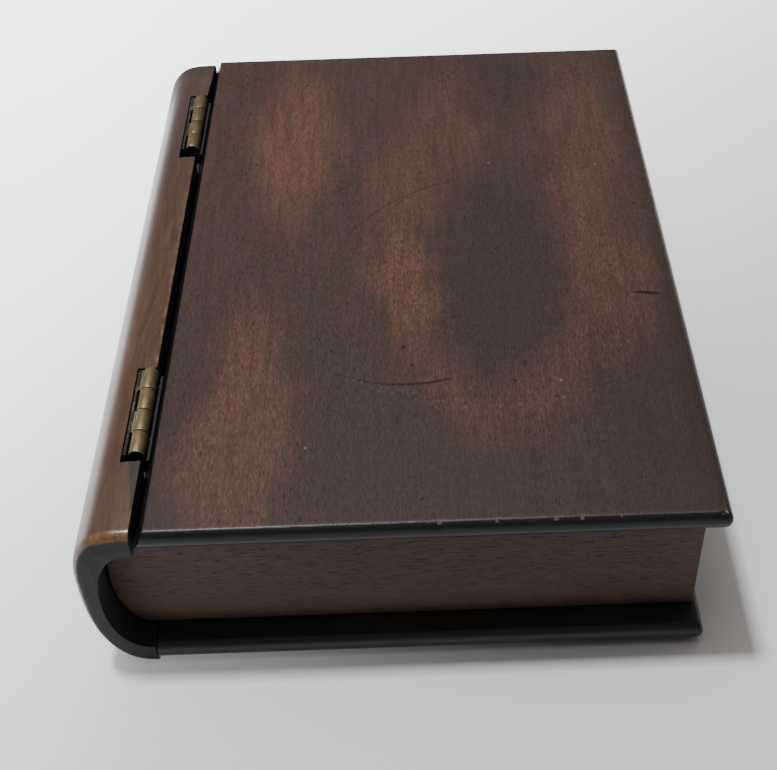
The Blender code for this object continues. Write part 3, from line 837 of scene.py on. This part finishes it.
def leaf_shape(hinge, place):
    """One leaf: a plate with countersunk holes, and its own rolled knuckles."""
    low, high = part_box(f"{hinge}_{place}_leaf")
    screw_low, screw_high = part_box(f"{hinge}_{place}_screw_1")
    next_low, next_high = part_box(f"{hinge}_{place}_screw_2")
    side = 1.0 if place == "lid" else -1.0
    radius = high.z - AXIS.z
    far = high.x if side > 0 else low.x
    pitch = (high.y - low.y + FIT_GAP) / 4
    rise = 0.9 * MM if place == "case" else -1.4 * MM
    shape = Shape(
        f"{hinge}_{place}_leaf_roll",
        Axis_X=AXIS.x,
        Axis_Z=AXIS.z,
        Side=side,
        Start=low.y,
        Length=high.y - low.y,
        Pitch=pitch,
        First=0 if place == "lid" else 1,
        Count=2,
        Radius=radius,
        Bore=BORE,
        Plate_X=far - side * LEAF_THICKNESS / 2,
        Thickness=LEAF_THICKNESS,
        Foot=low.z,
        Head=AXIS.z + rise,
        Screw_Y=(screw_low.y + screw_high.y) / 2,
        Screw_Step=(next_low.y - screw_low.y),
        Screw_Z=(screw_low.z + screw_high.z) / 2,
        Material=brass,
    )
    size = shape.size
    wall = size("Radius") - size("Bore")
    long = size("Pitch") - FIT_GAP * 0.6
    middle = (size("Radius") + size("Bore")) / 2
    ring = shape.add("GeometryNodeCurvePrimitiveCircle", {}, {"Resolution": 40, "Radius": middle})
    section = shape.add("GeometryNodeCurvePrimitiveQuadrilateral", {}, {"Width": wall, "Height": long})
    section = shape.add(
        "GeometryNodeFilletCurve",
        {"mode": "POLY"},
        {"Curve": section, "Count": 4, "Radius": 0.28 * MM, "Limit Radius": True},
    )
    knuckle = shape.add("GeometryNodeCurveToMesh", {}, {"Curve": ring, "Profile Curve": section})
    knuckle = shape.add(
        "GeometryNodeTransform", {}, {0: knuckle, "Rotation": (math.pi / 2, 0.0, 0.0)}
    )
    first_y = size("Start") + (size("First") + 0.5) * size("Pitch") - FIT_GAP / 2
    points = shape.add(
        "GeometryNodeMeshLine",
        {"mode": "OFFSET"},
        {
            "Count": size("Count"),
            "Start Location": shape.point(size("Axis_X"), first_y, size("Axis_Z")),
            "Offset": shape.point(0.0, size("Pitch") * 2, 0.0),
        },
    )
    web_start = size("Side") * size("Radius") * 0.62
    web_end = size("Plate_X") - size("Axis_X")
    web_z = size("Head") - size("Axis_Z") - 0.45 * MM
    web_x = (web_start + web_end) / 2
    web = shape.bar(
        shape.point(web_x, long * -0.5, web_z),
        shape.point(web_x, long * 0.5, web_z),
        abs(web_end - web_start),
        0.8 * MM,
        0.2 * MM,
    )
    rolls = shape.add(
        "GeometryNodeInstanceOnPoints", {}, {"Points": points, "Instance": shape.join(knuckle, web)}
    )
    mid_z = (size("Head") + size("Foot")) / 2
    plate = shape.bar(
        shape.point(size("Plate_X"), size("Start"), mid_z),
        shape.point(size("Plate_X"), size("Start") + size("Length"), mid_z),
        size("Thickness"),
        size("Head") - size("Foot"),
        0.14 * MM,
    )
    hole = shape.add(
        "GeometryNodeMeshCone",
        {},
        {
            "Vertices": 32,
            "Radius Bottom": SCREW_SHANK + 0.05 * MM,
            "Radius Top": SCREW_HEAD + 0.15 * MM,
            "Depth": size("Thickness") * 1.02,
        },
    )
    holes = shape.add(
        "GeometryNodeMeshLine",
        {"mode": "OFFSET"},
        {
            "Count": 2,
            "Start Location": shape.point(
                size("Plate_X") + size("Side") * size("Thickness") * 0.51, size("Screw_Y"), size("Screw_Z")
            ),
            "Offset": shape.point(0.0, size("Screw_Step"), 0.0),
        },
    )
    facing = shape.point(0.0, size("Side") * (-math.pi / 2), 0.0)
    turned = shape.add("FunctionNodeEulerToRotation", {}, {0: facing})
    holes = shape.add(
        "GeometryNodeInstanceOnPoints", {}, {"Points": holes, "Instance": hole, "Rotation": turned}
    )
    holes = shape.add("GeometryNodeRealizeInstances", {}, {0: holes})
    plate = shape.add(
        "GeometryNodeMeshBoolean",
        {"operation": "DIFFERENCE", "solver": "EXACT"},
        {"Mesh 1": plate, "Mesh 2": [holes]},
    )
    shape.finished(shape.join(plate, rolls), size("Material"))
    obj = shape.built(f"{hinge}_{place}_roll")
    return eased(obj, 0)


def pin_piece(hinge):
    """A plain pin with slightly domed ends, turned about the hinge axis."""
    low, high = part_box(hinge + "_pin")
    half = (high.y - low.y) / 2
    middle = (high.y + low.y) / 2
    profile = [(0, half), (0.5 * PIN, half - 0.05 * MM), (0.85 * PIN, half - 0.18 * MM), (PIN, half - 0.4 * MM)]
    profile += [(radius, -along) for radius, along in reversed(profile)]
    work = bmesh.new()
    vertices = [work.verts.new((radius, along, 0)) for radius, along in profile]
    edges = [work.edges.new(pair) for pair in zip(vertices, vertices[1:])]
    bmesh.ops.spin(
        work,
        geom=vertices + edges,
        cent=(0, 0, 0),
        axis=(0, 1, 0),
        angle=2 * math.pi,
        steps=28,
        use_duplicate=False,
    )
    bmesh.ops.remove_doubles(work, verts=work.verts, dist=0.002 * MM)
    bmesh.ops.recalc_face_normals(work, faces=work.faces)
    bmesh.ops.translate(work, verts=work.verts, vec=(AXIS.x, middle, AXIS.z))
    mesh = bpy.data.meshes.new(hinge + "_rod")
    work.to_mesh(mesh)
    work.free()
    mesh.materials.append(brass)
    obj = bpy.data.objects.new(hinge + "_rod", mesh)
    bpy.context.scene.collection.objects.link(obj)
    shade(obj)
    return obj


def screws(place):
    """All the countersunk slotted screws on one side of the hinges, as one mesh."""
    side = 1.0 if place == "lid" else -1.0
    nodes = [f"{hinge}_{place}_screw_{n}" for hinge in ("tail_hinge", "head_hinge") for n in (1, 2)]
    heads = []
    for node in nodes:
        low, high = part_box(node)
        heads.append((low.x if side > 0 else high.x, (low.y + high.y) / 2, (low.z + high.z) / 2))
    mesh = bpy.data.meshes.new(place + "_screws")
    mesh.from_pydata(heads, [], [])
    shape = Shape(
        place + "_screw_set",
        Side=side,
        Head=SCREW_HEAD,
        Shank=SCREW_SHANK,
        Length=SCREW_LENGTH,
        Sink=0.7 * MM,
        Seed=3,
        Material=screw_steel,
    )
    size = shape.size
    head = shape.add(
        "GeometryNodeMeshCone",
        {},
        {"Vertices": 32, "Radius Top": size("Head"), "Radius Bottom": size("Shank"), "Depth": size("Sink")},
    )
    head = shape.add("GeometryNodeTransform", {}, {0: head, "Translation": shape.point(0.0, 0.0, -size("Sink"))})
    slot = shape.add(
        "GeometryNodeMeshCube", {}, {"Size": shape.point(size("Head") * 3, 0.32 * MM, 0.5 * MM)}
    )
    head = shape.add(
        "GeometryNodeMeshBoolean",
        {"operation": "DIFFERENCE", "solver": "EXACT"},
        {"Mesh 1": head, "Mesh 2": [slot]},
    )
    stem = shape.add(
        "GeometryNodeMeshCone",
        {},
        {
            "Vertices": 20,
            "Radius Top": size("Shank"),
            "Radius Bottom": size("Shank") * 0.3,
            "Depth": size("Length") - size("Sink") * 1.1,
        },
    )
    stem = shape.add("GeometryNodeTransform", {}, {0: stem, "Translation": shape.point(0.0, 0.0, -size("Length"))})
    spin = shape.add(
        "FunctionNodeRandomValue", {"data_type": "FLOAT"}, {2: 0.0, 3: math.pi, "Seed": size("Seed")}, give=1
    )
    about = shape.add("FunctionNodeEulerToRotation", {}, {0: shape.point(0.0, 0.0, spin)})
    lay = shape.add("FunctionNodeEulerToRotation", {}, {0: shape.point(0.0, size("Side") * (-math.pi / 2), 0.0)})
    both = shape.add("FunctionNodeRotateRotation", {"rotation_space": "LOCAL"}, {0: lay, 1: about})
    placed = shape.add(
        "GeometryNodeInstanceOnPoints",
        {},
        {"Points": Term(shape, shape.given.outputs[0]), "Instance": shape.join(head, stem), "Rotation": both},
    )
    shape.finished(placed, size("Material"))
    obj = shape.built(place + "_screws", mesh)
    return eased(obj, 0), nodes


# Every piece rides on its body and stands for its solid


def stands(piece, body, slot, *nodes):
    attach(piece, body)
    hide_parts(*nodes)


stands(lid, "lid", "cover_wood", "lid_board")
stands(base, "case", "cover_wood", "base_board")
stands(spine, "case", "spine_wood", "spine")
for node, piece in walls.items():
    stands(piece, "case", "page_wood", node)
for hinge in ("tail_hinge", "head_hinge"):
    stands(leaf_shape(hinge, "case"), "case", "brass", hinge + "_case_leaf")
    stands(leaf_shape(hinge, "lid"), "lid", "brass", hinge + "_lid_leaf")
    stands(pin_piece(hinge), "case", "brass", hinge + "_pin")
for place in ("case", "lid"):
    piece, nodes = screws(place)
    stands(piece, place, "screw_steel", *nodes)


# Table, light and camera


def table_top():
    work = bmesh.new()
    bmesh.ops.create_grid(work, x_segments=2, y_segments=2, size=8)
    mesh = bpy.data.meshes.new("table_top")
    work.to_mesh(mesh)
    work.free()
    obj = bpy.data.objects.new("table_top", mesh)
    bpy.context.scene.collection.objects.link(obj)
    finish = Finish("white_table", Roughness=0.6, Emission_Strength=1.0)
    x, y, z = finish.axes((0, 0, 0))
    cloud = finish.noise((0.004, 0.004, 0.004), (1, 1, 1), 2, 0.5)
    # Painted light: the table glows, brighter towards the back left, as if lit by a window there.
    glow = finish.ease(y - x * 0.8, -150, 420) * finish.ease(y - x * 0.6, 1600, 500)
    glow = glow + finish.ease(x, -50, -140) * 0.12
    glow = finish.mix(glow, (0.0, 0.0, 0.0), (3.0, 3.03, 3.06))
    color = finish.mix(cloud, (0.71, 0.72, 0.73), (0.75, 0.755, 0.76))
    finish.done(Base_Color=color, Emission_Color=glow)
    mesh.materials.append(finish.material)


def lamp(name, place, target, size, power, color):
    light = bpy.data.lights.new(name, "AREA")
    light.shape = "RECTANGLE"
    light.size, light.size_y = size
    light.energy = power
    light.color = color
    obj = bpy.data.objects.new(name, light)
    obj.location = place
    obj.rotation_euler = (Vector(target) - Vector(place)).to_track_quat("-Z", "Y").to_euler()
    bpy.context.scene.collection.objects.link(obj)
    return obj


def room_light():
    """A pale room: brighter overhead and behind the box, darker where the viewer stands."""
    world = bpy.data.worlds.new("room")
    world.use_nodes = True
    bench = Bench(world.node_tree)
    ground = world.node_tree.nodes["Background"]
    place = bench.add("ShaderNodeTexCoord", give="Generated")
    x, y, z = [bench.add("ShaderNodeSeparateXYZ", {}, {0: place}, give=i) for i in range(3)]
    behind = bench.add(
        "ShaderNodeMapRange",
        {"interpolation_type": "SMOOTHSTEP"},
        {0: z + y * 0.35 - x * 0.15, 1: -0.1, 2: 1.1, 3: 0.0, 4: 1.0},
    )
    color = bench.add(
        "ShaderNodeMix",
        {"data_type": "RGBA"},
        {0: behind, 6: (0.05, 0.049, 0.048, 1), 7: (0.22, 0.215, 0.21, 1)},
        give=2,
    )
    bench.tree.links.new(color.socket, ground.inputs["Color"])
    ground.inputs["Strength"].default_value = 1.0
    bpy.context.scene.world = world


def set_camera():
    camera = bpy.data.cameras.new("camera")
    camera.sensor_width = 36
    camera.lens = 61.29
    camera.shift_x = -0.0582
    camera.shift_y = 0.0315
    obj = bpy.data.objects.new("camera", camera)
    yaw, pitch, roll = (math.radians(a) for a in (-0.32, 44.54, -1.78))
    ahead = Vector((-math.sin(yaw) * math.cos(pitch), math.cos(yaw) * math.cos(pitch), -math.sin(pitch)))
    level = Vector((math.cos(yaw), math.sin(yaw), 0))
    over = level.cross(ahead)
    right = math.cos(roll) * level + math.sin(roll) * over
    up = math.cos(roll) * over - math.sin(roll) * level
    turn = Matrix((right, up, -ahead)).transposed()
    place = Vector((SEAM + 65.9 * MM, TAIL - 194.6 * MM, TOP + 228.5 * MM))
    obj.matrix_world = Matrix.Translation(place) @ turn.to_4x4()
    bpy.context.scene.collection.objects.link(obj)
    bpy.context.scene.camera = obj


table_top()
room_light()
lamp("window", (-0.22, 0.015, 1.15), (0, 0, 0), (0.11, 0.11), 13.6, (0.965, 0.98, 1.0))
lamp("ceiling", (-0.4, 0.5, 2.2), (0, 0, 0), (2.4, 2.4), 25, (1.0, 0.915, 0.865)).visible_glossy = False
set_camera()
